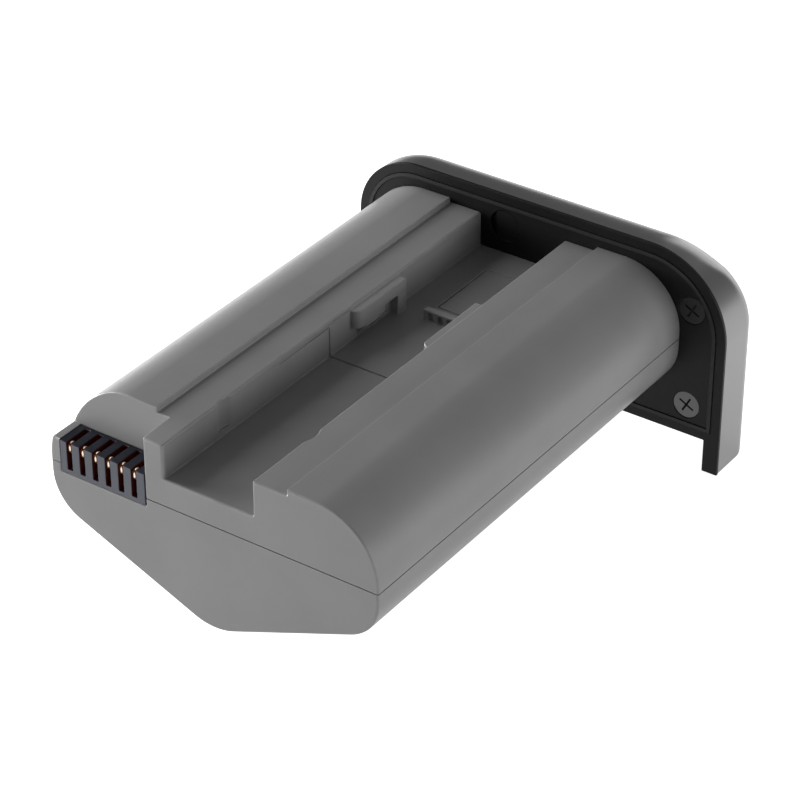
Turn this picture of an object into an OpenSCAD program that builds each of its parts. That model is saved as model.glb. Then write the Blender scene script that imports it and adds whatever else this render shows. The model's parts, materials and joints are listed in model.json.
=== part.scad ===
// Camera grip battery pack with three cells and a locking end cover, in millimetres.
// X runs across the pack, Y from the contact end to the end cover, Z up. The origin lies
// in the middle of the case's width, on the plane where the cover meets the camera and on
// the parting line of the case. In the modules Y is 0 at the contact end instead, and
// place() moves each piece to the origin.

/* [Cells] */
// Diameter of one cell
cell_d = 18.2; // [17.8:0.1:18.4]
// Length of one cell over its button
cell_l = 65; // [60:0.5:68]
// Room round a cell in its lobe
cell_gap = 0.1; // [0.05:0.05:0.2]
// Height of the two upper cells above the parting line
lobe_z = 1; // [0.6:0.1:1.4]
// Height of the keel cell's upper side above the parting line
keel_cell_z = 2.5; // [2.2:0.1:2.9]
// Height of the button on a cell
button_h = 0.8; // [0.5:0.1:1.2]
// Diameter of the button on a cell
button_d = 6.4; // [5:0.2:7.6]

/* [Case] */
// Thickness of the case wall
case_wall = 1; // [0.8:0.05:1.3]
// Thickness of the wall between channel and cell
channel_wall = 1.6; // [1.2:0.1:2]
// Width of the channel
channel_w = 15.6; // [15:0.2:17]
// Height of the channel floor above the parting line
floor_z = 4.6; // [4.4:0.1:5.2]
// Thickness of the channel floor
floor_t = 1.4; // [1.2:0.1:1.6]
// Height of the ledges beside the channel
ledge_z = 10.4; // [10:0.1:10.9]
// Width of a ledge
ledge_w = 5.85; // [5:0.05:6.6]
// Depth of the keel below the keel cell
keel_h = 2.3; // [1.9:0.1:3.3]
// Radius of the keel's tip
keel_r = 9; // [8:0.2:10]
// Radius of the case's lower corners
corner_r = 7.6; // [7.2:0.1:8.2]
// Height of the straight sides below the parting line
side_h = 1.8; // [1.4:0.1:2.2]
// Length of the case in front of the cells
front_l = 10.4; // [10.2:0.1:12]
// Length of the case behind the cells
rear_l = 4.6; // [4.5:0.1:6]
// Thickness of the front wall
front_wall = 1.6; // [1.2:0.1:2]
// Thickness of the rear wall
rear_wall = 3; // [2.8:0.1:3.1]
// Width of the dark line between the case halves
part_gap = 0.16; // [0.1:0.02:0.3]
// Height of the tongue that joins the halves
tongue_h = 0.8; // [0.6:0.1:0.9]
// Thickness of the tongue
tongue_t = 0.4; // [0.3:0.05:0.5]

/* [Contact end] */
// Width of the rib between the channel and the contact notch
rib_w = 3.6; // [3:0.1:4]
// Depth of the notch at its foot
notch_l = 4.9; // [4.6:0.1:5.2]
// How far the face above the notch leans back
notch_lean = 1.5; // [0.5:0.1:1.7]
// How far the rib's top slopes down to the front
rib_slope = 0.2; // [0.1:0.1:1]
// Width of the contact block
block_w = 15.4; // [15:0.1:15.8]
// Height of the contact block above the parting line
block_up = 4; // [3.7:0.05:4.3]
// Depth of the contact block below the parting line
block_down = 1.3; // [1:0.1:1.8]
// Number of slots and contacts
slot_n = 6; // [3:1:6]
// Distance from one slot to the next
slot_pitch = 2.37; // [2.2:0.01:2.4]
// Width of a slot
slot_w = 0.98; // [0.9:0.02:1.1]
// Distance from the block's side to the first slot
slot_edge = 1.63; // [1.4:0.01:1.8]
// Thickness of the block under a slot
slot_floor = 0.67; // [0.5:0.01:1]
// Depth of a slot
slot_l = 4.3; // [3.5:0.1:4.4]
// Thickness of a contact
contact_t = 0.7; // [0.4:0.05:0.8]
// Radius of a contact's nose
nose_r = 0.6; // [0.4:0.05:0.7]
// Height of the straight part of a contact's nose
nose_h = 0.7; // [0.4:0.1:1]

/* [Channel details] */
// Place of the front end of the left hook tab
tab_y = 44.6; // [43:0.2:46]
// Length of the left hook tab
tab_l = 12.7; // [12:0.1:14]
// How much farther forward the right hook tab starts
tab_ahead = 2; // [0:0.1:3]
// How far a tab stands out of the wall
tab_t = 1.5; // [1:0.1:1.6]
// Distance of a tab's top below the ledge
tab_drop = 0.4; // [0.1:0.05:0.6]
// Length of a tab's nose
tab_nose = 1.8; // [1.6:0.1:2.4]
// Height of a tab's nose
tab_nose_h = 3.1; // [2:0.1:3.6]
// Width of a tab's leg
tab_leg = 2.2; // [1.8:0.1:2.6]
// Width of a tab's window
tab_window_w = 3.4; // [2.6:0.1:3.8]
// Height of a tab's window
tab_window_h = 3.3; // [2:0.1:3.6]
// Width of the comb on the floor
comb_w = 6; // [5:0.1:7]
// Height of the comb
comb_h = 1.8; // [1.4:0.1:2.4]
// Thickness of the comb
comb_t = 1.2; // [0.8:0.1:1.4]
// Distance from the left hook tab to the outlined panel
panel_gap = 3; // [2:0.1:4]
// Distance from the outlined panel to the channel's rear end
panel_end = 2.8; // [2:0.1:4]
// Place of the guide pockets in the channel's walls
guide_y = 13.9; // [12:0.1:16]
// Radius of the guide pockets
guide_r = 3.6; // [3:0.1:4]
// Depth of the guide pockets
guide_depth = 0.5; // [0.3:0.05:0.7]
// Place of the line across the floor
line_y = 39.4; // [36:0.2:41]
// Width and depth of the fine lines
line_w = 0.16; // [0.1:0.02:0.3]
// Distance of the walls' upper fine line below the ledge
film_drop = 0.75; // [0.2:0.05:1.2]
// Length of the walls' upper fine line
film_l = 12.2; // [10:0.2:14]

/* [Cover] */
// Reach of the cover to the left of the middle
cover_left = 31.1; // [30.8:0.1:33]
// Reach of the cover to the right of the middle
cover_right = 36.8; // [36.4:0.1:39]
// Height of the cover above the parting line
cover_up = 14.9; // [14.6:0.1:16.5]
// Depth of the cover below the parting line
cover_down = 16.7; // [16.4:0.1:17.2]
// Length of the feet below the cover
foot_h = 5.7; // [4.5:0.1:7]
// Width of a foot
foot_w = 2.7; // [2.4:0.1:2.9]
// Radius of the cover's left upper corner
left_r = 11.2; // [10:0.1:12]
// Radius of the cover's right upper corner
right_r = 14; // [13:0.1:14.4]
// Thickness of the cover
cover_t = 10.2; // [10.1:0.1:11]
// Radius of the cover's outer edge at its sides and corners
edge_r = 3.6; // [2.4:0.1:4.5]
// Radius of the cover's outer edge along its top
top_r = 8.4; // [6:0.1:8.8]
// Thickness of the cover's outer shell
shell_wall = 1.1; // [1:0.05:1.3]
// Depth of the shell's inner step, which follows its round edge
shell_step = 1.6; // [1.4:0.1:1.8]
// Thickness of the cover plate
plate_t = 2.2; // [2:0.05:2.25]
// Thickness of the plate's flange in front of the shell
flange_t = 0.5; // [0.4:0.05:0.7]
// Thickness of the wall outside the seal groove
groove_wall = 0.4; // [0.35:0.05:0.5]
// Width of the seal groove
groove_w = 0.7; // [0.6:0.05:0.8]
// Depth of the seal groove
groove_l = 0.9; // [0.7:0.05:1.1]
// How far the seal stands out
seal_proud = 0.15; // [0.05:0.05:0.3]

/* [Screws] */
// Head diameter of a cover screw
screw_head = 4.5; // [4:0.1:4.6]
// Head height of a cover screw
screw_head_h = 1.2; // [1:0.1:1.4]
// Shank diameter of a cover screw
screw_d = 2.2; // [1.8:0.1:2.4]
// Distance of the right screws from the cover's right side
screw_right = 6.1; // [6:0.1:6.6]
// Height of the upper right screw
screw_up = 5.6; // [3:0.1:5.7]
// Depth of the lower right screw
screw_down = 11.4; // [9:0.1:12]
// Distance of the left screw from the middle
screw_left = 25; // [24:0.1:25.6]
// Depth of the left screw
screw_left_down = 11.8; // [11.5:0.1:11.9]
// Head diameter of a case screw
fix_head = 3.6; // [3:0.1:4]
// Shank diameter of a case screw
fix_d = 1.8; // [1.6:0.1:2]

/* [Lock] */
// Distance of the knob to the right of the middle
knob_x = 3; // [2.6:0.1:3.4]
// Depth of the knob's centre below the parting line
knob_down = 2; // [1.2:0.1:2.4]
// Diameter of the knob
knob_d = 21; // [20:0.2:23]
// How far the knob stands out of the cover
knob_proud = 2.6; // [2.2:0.1:3]
// Depth of the knob's well
well_l = 3.4; // [3.2:0.1:3.6]
// Thickness of the well's floor
well_floor = 1.4; // [1.2:0.05:1.5]
// Diameter of the knob's shaft
shaft_d = 6; // [5:0.1:6.4]
// Distance of the key to the left of the middle
key_left = 3.3; // [3:0.1:3.6]
// Height of the key above the parting line
key_z = 9.4; // [9.2:0.1:9.6]
// Diameter of the key
key_d = 5.2; // [4.8:0.1:5.4]
// Distance of the key's flat from its middle
key_flat = 1.5; // [1.2:0.1:1.8]
// Depth of the key's flat
key_flat_l = 0.6; // [0.4:0.05:0.65]
// Length of the crank arms
crank_l = 4.5; // [4.4:0.05:4.7]
// Diameter of the crank pins
crank_pin_d = 2; // [1.8:0.1:2.2]
// Thickness of the link and of the arms
link_t = 1; // [0.8:0.05:1.05]
// Width of the link
link_w = 2.2; // [1.8:0.1:2.4]
// Radius of the handle
handle_r = 8.9; // [8:0.1:9.1]
// Thickness of the handle
handle_t = 2; // [1.8:0.1:2.1]
// Length of the handle's barrel
barrel_l = 14.6; // [13:0.2:15.4]
// Diameter of the handle's pin
pin_d = 1.1; // [0.9:0.05:1.2]

/* [Clearances] */
// Room between pieces that are fitted together
fit_gap = 0.1; // [0.06:0.01:0.12]
// Room round a turning shaft or pin
run_gap = 0.05; // [0.03:0.01:0.08]
// Room between the pieces stacked in the lock
stack_gap = 0.15; // [0.1:0.01:0.18]
// Room round the cell holders
inner_gap = 0.15; // [0.1:0.01:0.2]
// Room round the soft and thin pieces inside
soft_gap = 0.3; // [0.2:0.02:0.36]

/* [Hidden] */
$fn = 96;
// Overlap of shapes that are joined, and overrun of cuts
eps = 0.01;
over = 1;

CONTACTS = [for (i = [1:slot_n]) str("contact_", i)];

// Case sizes that follow from the cells
cell_r = cell_d / 2;
half_channel = channel_w / 2;
lobe_in = cell_r + cell_gap;
lobe_r = lobe_in + case_wall;
lobe_x = half_channel + channel_wall + lobe_in;
half_w = lobe_x + lobe_r;
body_l = front_l + cell_l + rear_l;
step_x = half_channel + ledge_w;
lobe_top = lobe_z + lobe_r;
ceiling_z = floor_z - floor_t;
keel_mid = cell_r - keel_cell_z;
keel_low = keel_mid + cell_r + keel_h;
keel_tip = [0, keel_r - keel_low];
low_corner = [half_w - corner_r, -side_h];
far = 2 * half_w;

// Contact end
rib_x = -half_channel - rib_w;
block_x = rib_x - fit_gap - block_w;
block_l = notch_l - fit_gap;
slot_z = slot_floor - block_down;
cheek_rise = 0.1;
tail_z = 0.7;
tail_h = 0.7;
tail_gap = 0.2;
tail_from = block_x + slot_edge - slot_w / 2 - tail_gap;
tail_to = contact_x(slot_n) + slot_w / 2 + tail_gap;
tab_end = tab_y + tab_l;

// Inside of the case, from the front to the rear
cavity_y = notch_l + notch_lean + case_wall;
cavity_end = body_l - rear_wall;
cells_end = front_l + cell_l;
board_t = 0.8;
board_y = cavity_y + inner_gap;
board_low = 6.8;
strip_t = 0.15;
strip_gap = 0.05;
strip_half = 4;
strip_y = front_l - strip_gap - strip_t;
rear_strip_y = cells_end + strip_gap;
sheet_t = 0.2;
sheet_y = strip_y - inner_gap - sheet_t;
holder_l = 4.5;
holder_in = 1.2;
lead_r = 0.6;
lead_play = 2.5;
lead_turn = -18;
lead_at = (cell_r + lead_play) * [cos(lead_turn), sin(lead_turn)] - [0, keel_mid];
part_pitch = 6;

// Cover
foot_z = -cover_down - foot_h;
left_c = [left_r - cover_left, cover_up - left_r];
right_c = [cover_right - right_r, cover_up - right_r];
tall = cover_up + cover_down + foot_h;
rim_w = shell_wall + fit_gap + groove_wall;
seal_play = 0.05;
boss_wall = 1.5;
boss_l = 4.5;
grip_gap = 0.02;
screw_x = cover_right - screw_right;
screw_spots = [[screw_x, screw_up], [screw_x, -screw_down], [-screw_left, -screw_left_down]];
fix_low = keel_mid + cell_r * 0.6;
fix_half = lobe_x / 3;
fix_spots = [[-lobe_x, lobe_z], [lobe_x, lobe_z], [-fix_half, -fix_low], [fix_half, -fix_low]];
fix_head_h = 1.2;

// Lock, where both cranks stay parallel and the link only shifts
knob_at = [knob_x, -knob_down];
key_at = [-key_left, key_z];
shaft_r = shaft_d / 2;
key_r = key_d / 2;
well_r = knob_d / 2 + 2 * fit_gap;
well_y = cover_t - well_l;
under_y = well_y - well_floor;
knob_y = well_y + fit_gap;
knob_top = cover_t + knob_proud;
link_y = plate_t + stack_gap;
arm_y = link_y + link_t + stack_gap;
arm_end = arm_y + link_t;
link_way = key_at - knob_at;
link_angle = atan2(link_way[1], link_way[0]);
crank_angle = link_angle + 135;
crank_way = crank_l * [cos(crank_angle), sin(crank_angle)];
crank_pin_r = crank_pin_d / 2;
arm_end_r = crank_pin_r + 0.8;
arm_hub_r = 3.2;
neck_r = 1.7;
key_end_r = 1.45;
clip_wall = 0.9;
washer_wall = 1.8;
crank_screw_r = 1;
crank_screw_l = 4;
crank_head_h = 1;
ring_w = 0.7;
ring_r = 0.3;
key_ring_y = (key_flat_l + plate_t) / 2;
knob_ring_y = under_y + well_floor / 2;

// Handle
barrel_r = handle_t / 2;
axis_y = knob_top - fit_gap - barrel_r;
web_z = 1.6;
pocket_y = knob_top - 2 * fit_gap - handle_t;
pin_sink = 0.3;

case_grey = [0.42, 0.42, 0.42];
slate = [0.29, 0.31, 0.36];
cover_black = [0.07, 0.07, 0.075];
shell_grey = [0.45, 0.45, 0.45];
steel = [0.6, 0.6, 0.6];
gold = [0.85, 0.66, 0.3];
wrap_blue = [0.2, 0.42, 0.55];
paper = [0.8, 0.78, 0.68];
rubber = [0.05, 0.05, 0.05];
board_green = [0.1, 0.35, 0.2];

// Moves a piece from the contact end's zero to the part's origin
module place() {
    translate([0, -body_l, 0]) children();
}

// Draws an outline in X and Z and gives it length l along Y, starting at y
module along(y, l) {
    rotate([90, 0, 0]) translate([0, 0, -y - l]) linear_extrude(l) children();
}

// The same, with y counted from the cover's seat
module cover_along(y, l) {
    along(body_l + y, l) children();
}

// Draws an outline in Y and Z and gives it width w along X, starting at x
module across(x, w) {
    translate([x, 0, 0]) rotate([90, 0, 90]) linear_extrude(w) children();
}

// Puts a shape that is drawn along Z at a place in X and Z, pointing along Y
module facing_rear(at, y) {
    translate([at[0], y, at[1]]) rotate([-90, 0, 0]) children();
}

// A round bar along Y
module rod(at, y, l, r) {
    facing_rear(at, y) cylinder(h = l, r = r);
}

// A round bar in the cover, with y counted from its seat
module cover_rod(at, y, l, r) {
    rod(at, body_l + y, l, r);
}

// A box between two corners
module block(low, high) {
    translate(low) cube(high - low);
}

// A rectangle between two corners
module area(low, high) {
    translate(low) square(high - low);
}

// Draws a piece on the right and its mirror image on the left
module both_sides() {
    for (m = [0, 1]) mirror([m, 0, 0]) children();
}

// Middle of slot i
function contact_x(i) = block_x + slot_edge + (i - 1) * slot_pitch;

// Outline of the upper case without its hollow
module upper_outline() {
    difference() {
        union() {
            both_sides() {
                translate([lobe_x, lobe_z]) circle(lobe_r);
                area([step_x, 0], [lobe_x, lobe_top]);
                area([half_channel - eps, 0], [lobe_x, ledge_z]);
                area([lobe_x, 0], [half_w, lobe_z]);
            }
            area([-half_channel, 0], [half_channel, floor_z]);
        }
        area([-far, -far], [far, 0]);
        area([-half_channel, floor_z], [half_channel, far]);
        area([-step_x, ledge_z], [step_x, far]);
    }
}

// Hollow of the upper case, smaller by gap all round
module upper_hollow(gap) {
    difference() {
        union() {
            both_sides() {
                translate([lobe_x, lobe_z]) circle(lobe_in - gap);
                area([lobe_x, -eps], [half_w - case_wall - gap, lobe_z]);
            }
            area([-lobe_x, -eps], [lobe_x, ceiling_z - gap]);
        }
        area([-far, -far], [far, -eps]);
        both_sides() area([-eps, ceiling_z - gap], [half_channel + channel_wall, far]);
    }
}

// Direction square to the keel's slanted side
function slope_angle() =
    let (run = low_corner - keel_tip)
    atan2(run[1], run[0]) - 90 + asin((keel_r - corner_r) / norm(run));
function slope_way() = [cos(slope_angle()), sin(slope_angle())];

// Outline of the keel, smaller by gap all round
module keel_outline(gap) {
    difference() {
        union() {
            translate(keel_tip) circle(keel_r - gap);
            both_sides() {
                translate(low_corner) circle(corner_r - gap);
                polygon([[0, over], keel_tip, keel_tip + (keel_r - gap) * slope_way(),
                    low_corner + (corner_r - gap) * slope_way(), low_corner,
                    [half_w - gap, -side_h], [half_w - gap, over]]);
            }
        }
        area([-far, 0], [far, far]);
    }
}

// Three round holes at the cells
module cell_circles(r) {
    both_sides() translate([lobe_x, lobe_z]) circle(r);
    translate([0, -keel_mid]) circle(r);
}

// Hook tab on the right wall of the channel: a beam with a round nose at start, a slope
// under it, and a leg at its end with a window in front of it
module hook_tab(start) {
    top = ledge_z - tab_drop;
    low = top - tab_nose_h;
    tip_x = half_channel - tab_t;
    pad_y = start + tab_nose;
    window_end = tab_end - tab_leg;
    difference() {
        union() {
            block([tip_x, start + tab_t, low], [half_channel + eps, tab_end, top]);
            block([tip_x, window_end - eps, floor_z - eps], [half_channel + eps, tab_end, low + eps]);
            along(pad_y, window_end - pad_y) polygon([[tip_x, low + eps], [half_channel, floor_z],
                [half_channel + eps, floor_z], [half_channel + eps, low + eps]]);
            translate([half_channel, start + tab_t, low]) intersection() {
                cylinder(h = tab_nose_h, r = tab_t);
                block([-tab_t, -tab_t, 0], [eps, eps, tab_nose_h]);
            }
        }
        block([tip_x - over, window_end - tab_window_w, floor_z],
            [half_channel, window_end, floor_z + tab_window_h]);
    }
}

// Comb with open slots that stands on the channel floor
module comb() {
    comb_x = -0.3 * half_channel;
    comb_y = tab_end - comb_t;
    slot_count = 3;
    gap = comb_w / (2 * slot_count + 1);
    difference() {
        block([comb_x, comb_y, floor_z - eps], [comb_x + comb_w, comb_y + comb_t, floor_z + comb_h]);
        for (i = [0:slot_count - 1]) translate([comb_x + (2 * i + 1) * gap, comb_y, floor_z])
            block([0, -over, 0], [gap, comb_t * 0.6, comb_h * 0.75]);
    }
}

// Fine lines: a joint across the floor and up the walls, and an outline near the cover
module fine_lines() {
    top = ledge_z - film_drop;
    panel_x = [-half_channel / 3, half_channel * 0.77];
    panel_y = [tab_end + panel_gap, cavity_end - panel_end];
    block([-half_channel - line_w, line_y, floor_z - line_w],
        [half_channel + line_w, line_y + line_w, floor_z + eps]);
    both_sides() {
        block([half_channel - eps, line_y, floor_z], [half_channel + line_w, line_y + line_w, top]);
        block([half_channel - eps, line_y - film_l, top - line_w],
            [half_channel + line_w, line_y + line_w, top]);
    }
    difference() {
        block([panel_x[0], panel_y[0], floor_z - line_w], [panel_x[1], panel_y[1], floor_z + eps]);
        block([panel_x[0] + line_w, panel_y[0] + line_w, floor_z - over],
            [panel_x[1] - line_w, panel_y[1] - line_w, floor_z + over]);
    }
}

// Room for the contact block, the open notch above it and the slope of the rib
module notch() {
    left = -half_w - over;
    foot_up = block_up + cheek_rise;
    across(left, rib_x - left) polygon([[-over, foot_up], [notch_l, foot_up],
        [notch_l + notch_lean, lobe_top + over], [-over, lobe_top + over]]);
    across(rib_x - eps, rib_w + 2 * eps) polygon([[-over, ledge_z - rib_slope],
        [0, ledge_z - rib_slope], [notch_l, ledge_z], [notch_l, ledge_z + over], [-over, ledge_z + over]]);
    block([block_x - fit_gap, -over, -over],
        [block_x + block_w + fit_gap, block_l + fit_gap, foot_up + over]);
    block([tail_from, block_l - over, tail_z - tail_gap],
        [tail_to, cavity_y + over, tail_z + tail_h + tail_gap]);
}

// Pocket behind the front wall, right of the contact block
module front_pocket() {
    block([-half_channel, front_wall, -far], [far, cavity_y + over, far]);
}

// Holes for the case screws in the rear wall
module fix_holes() {
    hole_l = rear_wall - 0.5;
    for (at = fix_spots) cover_rod(at, -hole_l, hole_l + over, fix_d / 2 + grip_gap);
}

module upper_case() {
    color(case_grey) place() {
        difference() {
            along(0, body_l) upper_outline();
            block([-far, -over, -over], [far, body_l + over, part_gap / 2]);
            along(cavity_y, cavity_end - cavity_y) upper_hollow(0);
            intersection() {
                along(front_wall, cavity_y) upper_hollow(0);
                front_pocket();
            }
            both_sides() {
                block([lobe_x, cavity_y, -over],
                    [half_w - case_wall + tongue_t + fit_gap, cavity_end, tongue_h + fit_gap]);
                translate([half_channel + guide_depth - guide_r, guide_y, floor_z + over])
                    cylinder(h = far, r = guide_r);
            }
            notch();
            fine_lines();
            fix_holes();
        }
        hook_tab(tab_y - tab_ahead);
        mirror([1, 0, 0]) hook_tab(tab_y);
        comb();
    }
}

module lower_case() {
    color(case_grey) place() difference() {
        union() {
            difference() {
                along(0, body_l) keel_outline(0);
                block([-far, -over, -part_gap / 2], [far, body_l + over, over]);
                along(cavity_y, cavity_end - cavity_y) keel_outline(case_wall);
                intersection() {
                    along(front_wall, cavity_y) keel_outline(case_wall);
                    front_pocket();
                }
            }
            both_sides() block([half_w - case_wall - eps, cavity_y + fit_gap, -over],
                [half_w - case_wall + tongue_t, cavity_end - fit_gap, tongue_h]);
        }
        block([block_x - fit_gap, -over, -block_down - fit_gap],
            [block_x + block_w + fit_gap, block_l + fit_gap, over]);
        fix_holes();
    }
}

module contact_block() {
    color(slate) place() difference() {
        block([block_x, 0, -block_down], [block_x + block_w, block_l, block_up]);
        for (i = [1:slot_n])
            block([contact_x(i) - slot_w / 2, -over, slot_z],
                [contact_x(i) + slot_w / 2, slot_l, block_up + over]);
        block([tail_from, slot_l - eps, tail_z - tail_gap],
            [tail_to, block_l + over, tail_z + tail_h + tail_gap]);
    }
}

// Contact i: a leaf with a round nose in front and a tail that ends on the board
module contact(i) {
    nose = [nose_r + 0.25, block_up - nose_r - 0.15];
    color(gold) place() across(contact_x(i) - contact_t / 2, contact_t) {
        translate(nose) circle(nose_r);
        translate(nose - [0, nose_h]) circle(nose_r);
        area(nose - [nose_r, nose_h], nose + [nose_r, 0]);
        polygon([nose - [nose_r * 0.6, nose_r * 0.7], [nose[0] + nose_r, tail_z], [board_y, tail_z],
            [board_y, tail_z + tail_h], [nose[0] + 2 * nose_r, tail_z + tail_h], nose + [nose_r * 0.9, 0]]);
    }
}

// One cell with its button at the front or at the rear
module cell(at, button_first) {
    can_l = cell_l - button_h;
    color(wrap_blue) place() {
        rod(at, front_l + (button_first ? button_h : 0), can_l, cell_r);
        rod(at, front_l + (button_first ? 0 : can_l - eps), button_h + eps, button_d / 2);
    }
}

// Spacer that fills the room between the cells
module holder(y) {
    color(rubber) place() difference() {
        along(y, holder_l) {
            upper_hollow(inner_gap);
            keel_outline(case_wall + inner_gap);
        }
        along(y - over, holder_l + 2 * over) cell_circles(cell_r + strip_gap);
        rod(lead_at, y - over, holder_l + 2 * over, lead_r + fit_gap);
    }
}

// Nickel strip on a cell end
module strip_pad(at, y) {
    half = [strip_half, strip_half];
    along(y, strip_t) area(at - half, at + half);
}

// Nickel strip between the keel cell and the cell at x
module strip_bridge(x, y) {
    half = strip_half * 0.75;
    along(y, strip_t) polygon([[0, -keel_mid - half], [x, lobe_z - half],
        [x, lobe_z + half], [0, -keel_mid + half]]);
}

module strip_plus() {
    half = 1.5;
    low = lobe_z - strip_half;
    color(steel) place() {
        strip_pad([-lobe_x, lobe_z], strip_y);
        block([-lobe_x - half, board_y + board_t, low], [-lobe_x + half, strip_y + eps, low + strip_t]);
    }
}

module strip_front() {
    color(steel) place() {
        strip_pad([lobe_x, lobe_z], strip_y);
        strip_pad([0, -keel_mid], strip_y);
        strip_bridge(lobe_x, strip_y);
    }
}

module strip_rear() {
    color(steel) place() {
        strip_pad([-lobe_x, lobe_z], rear_strip_y);
        strip_pad([0, -keel_mid], rear_strip_y);
        strip_bridge(-lobe_x, rear_strip_y);
    }
}

module strip_minus() {
    half = 1.5;
    low = lobe_z - strip_half;
    color(steel) place() {
        strip_pad([lobe_x, lobe_z], rear_strip_y);
        along(rear_strip_y, strip_t) polygon([[lobe_x - strip_half, low + eps],
            lead_at + [-half, -half], lead_at + [half, -half], [lobe_x, low + eps]]);
    }
}

module lead_minus() {
    start = board_y + board_t;
    color("black") place() rod(lead_at, start, rear_strip_y - start, lead_r);
}

module insulator_front() {
    slit = [2, 0.6];
    low = lobe_z - strip_half;
    color(paper) place() difference() {
        along(sheet_y, sheet_t) {
            upper_hollow(soft_gap);
            keel_outline(case_wall + soft_gap);
        }
        block([-lobe_x - slit[0], sheet_y - over, low - slit[1]],
            [-lobe_x + slit[0], sheet_y + over, low + slit[1]]);
        rod(lead_at, sheet_y - over, 2 * over, lead_r + fit_gap);
    }
}

// Foam pad that fills the room between the rear strips and the rear wall
module pad_rear() {
    pad_y = rear_strip_y + strip_t + strip_gap;
    color(rubber) place() along(pad_y, cavity_end - pad_y - strip_gap) {
        upper_hollow(soft_gap);
        keel_outline(case_wall + soft_gap);
    }
}

// Board with a cut corner along the case and a tongue that reaches down to the minus lead
module circuit_board() {
    left = case_wall + over - half_w;
    top = ceiling_z - soft_gap;
    tongue = [3, 2 * lead_r];
    right = lead_at[0] + tongue[1];
    foot = lead_at[1] - tongue[1];
    color(board_green) place() along(board_y, board_t)
        polygon([[left, top], [left, -side_h], [left + board_low - side_h, -board_low],
            [lead_at[0] - tongue[0], -board_low], [lead_at[0] - tongue[0], foot],
            [right, foot], [right, top]]);
}

module board_parts() {
    part = [4, 1.4, 4.4];
    color(rubber) place() for (i = [-1:1])
        translate([i * part_pitch, board_y - part[1], -part[2]]) cube(part);
}

// Outline of the cover down to its feet, smaller by gap all round
module cover_outline(gap) {
    translate(left_c) circle(left_r - gap);
    translate(right_c) circle(right_r - gap);
    area([gap - cover_left, foot_z + gap], [0, left_c[1]]);
    area([-eps, foot_z + gap], [cover_right - gap, right_c[1]]);
    area([left_c[0], foot_z + gap], [right_c[0], cover_up - gap]);
}

// Open space between the feet
module foot_space() {
    area([foot_w - cover_left, foot_z - over], [cover_right - foot_w, -cover_down]);
}

// Outline of the cover above its feet, smaller by gap all round
module plate_outline(gap) {
    difference() {
        cover_outline(gap);
        area([-far, foot_z - over], [far, gap - cover_down]);
    }
}

// Places of the three cover screws
module at_screws() {
    for (at = screw_spots) facing_rear(at, body_l) children();
}

module cover_plate() {
    pocket_l = screw_head_h + fit_gap;
    color(cover_black) place() difference() {
        union() {
            cover_along(0, flange_t) difference() {
                cover_outline(0);
                foot_space();
            }
            cover_along(0, plate_t) plate_outline(shell_wall + fit_gap);
        }
        cover_along(-eps, groove_l) difference() {
            plate_outline(rim_w);
            plate_outline(rim_w + groove_w);
        }
        at_screws() {
            translate([0, 0, -over]) cylinder(h = pocket_l + over, d = screw_head + 2 * fit_gap);
            cylinder(h = plate_t + over, d = screw_d + 2 * fit_gap);
        }
        for (at = fix_spots) cover_rod(at, -over, plate_t + 2 * over, fix_d / 2 + fit_gap);
        cover_rod(key_at, -over, plate_t + 2 * over, key_r + run_gap);
    }
}

// Seal in the plate's groove, flat where the keel presses on it
module cover_seal() {
    color(rubber) place() difference() {
        cover_along(-seal_proud, groove_l - seal_play + seal_proud) difference() {
            plate_outline(rim_w + seal_play);
            plate_outline(rim_w + groove_w - seal_play);
        }
        cover_along(-over, over) keel_outline(-fit_gap);
    }
}

// Waste outside a rounded edge of length l along X, whose round starts at the origin
module edge_waste(l, r) {
    difference() {
        translate([-l / 2, 0, 0]) cube([l, r + over, r + over]);
        rotate([0, 90, 0]) cylinder(h = l + 2 * over, r = r, center = true);
    }
}

// Waste outside the rounded edge of an upper corner of radius r
module corner_waste(r) {
    rotate_extrude() difference() {
        area([r - edge_r, 0], [r + over, edge_r + over]);
        translate([r - edge_r, 0]) circle(edge_r);
    }
}

// Puts a shape at the middle of the round along the cover's top
module top_edge() {
    translate([0, body_l + cover_t - top_r, cover_up - top_r]) children();
}

// Everything outside the rounded outer edge of the cover
module outer_edge_waste() {
    y = body_l + cover_t - edge_r;
    low_r = edge_r / 2;
    top_edge() edge_waste(2 * far, top_r);
    for (x = [-cover_left, cover_right])
        translate([x, y, foot_z + edge_r]) mirror([0, 0, 1]) edge_waste(4 * foot_w, edge_r);
    translate([cover_right - edge_r, y, right_c[1] - tall]) rotate([0, 90, 0]) edge_waste(2 * tall, edge_r);
    translate([edge_r - cover_left, y, left_c[1] - tall]) rotate([0, -90, 0]) edge_waste(2 * tall, edge_r);
    intersection() {
        translate([0, body_l + cover_t - low_r, low_r - cover_down]) mirror([0, 0, 1])
            edge_waste(2 * far, low_r);
        block([foot_w - cover_left, 0, -far], [cover_right - foot_w, 2 * body_l, far]);
    }
    facing_rear(right_c, y) intersection() {
        corner_waste(right_r);
        block([0, -far, -over], [far, 0, cover_t]);
    }
    facing_rear(left_c, y) intersection() {
        corner_waste(left_r);
        block([-far, -far, -over], [0, 0, cover_t]);
    }
}

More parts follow.
